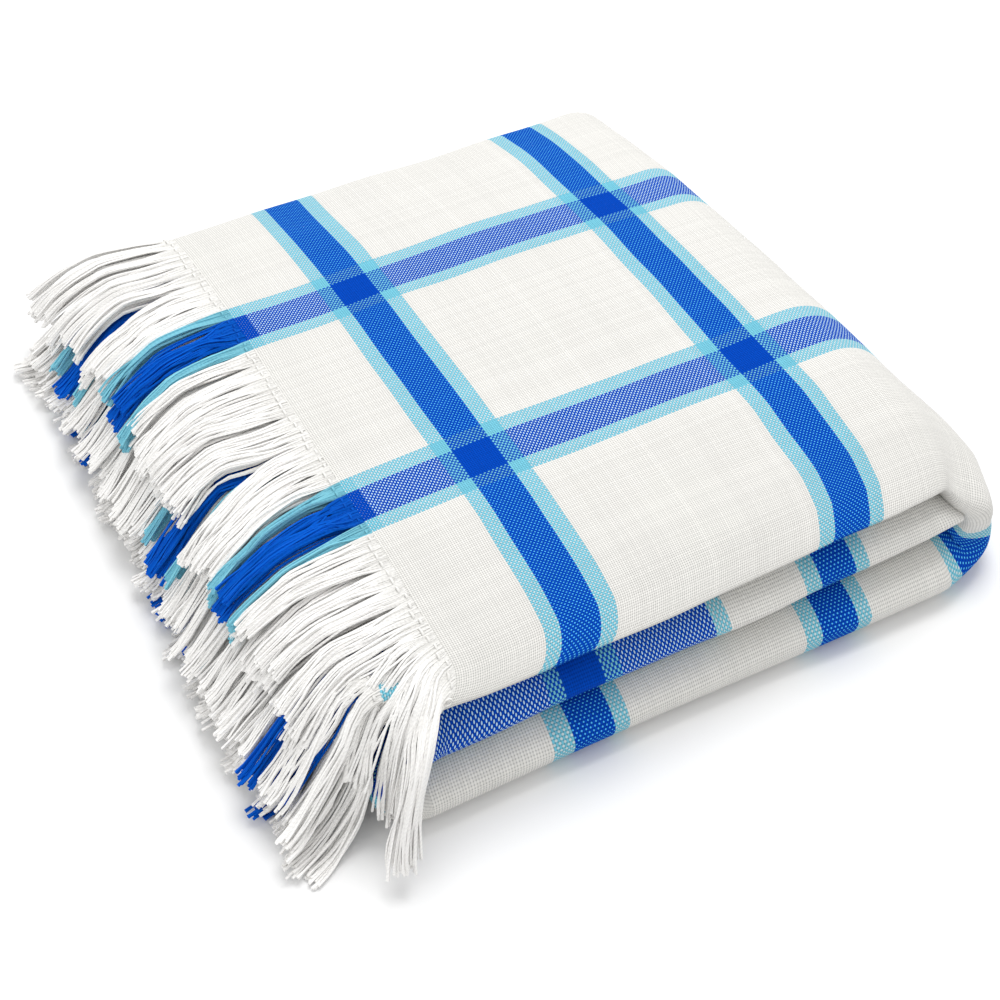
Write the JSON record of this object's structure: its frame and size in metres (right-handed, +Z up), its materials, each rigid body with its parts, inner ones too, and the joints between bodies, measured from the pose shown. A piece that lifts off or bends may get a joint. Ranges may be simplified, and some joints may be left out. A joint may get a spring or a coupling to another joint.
{
  "type": "folded fringed blanket",
  "caption": "Woven check shuka blanket with fringed ends, folded into a soft rectangular pack that rests on a flat surface.",
  "frame": {"origin": "under the middle of the folded pack, on the surface it rests on", "axes": "+Z up through the folded layers, -X towards the fringed end, +X towards the rounded end fold, -Y towards the near rolled edge"},
  "size_m": [0.4143, 0.4026, 0.0835],
  "materials": {
    "woven_cloth": "matt plain weave, white with a blue and light blue windowpane check",
    "fringe_yarn": "matt loose yarn, white with blue and light blue bunches"
  },
  "bodies": {
    "root": {"folded_cloth": "woven_cloth", "fringe_outer_end": "fringe_yarn", "fringe_inner_end": "fringe_yarn"}
  },
  "joints": []
}
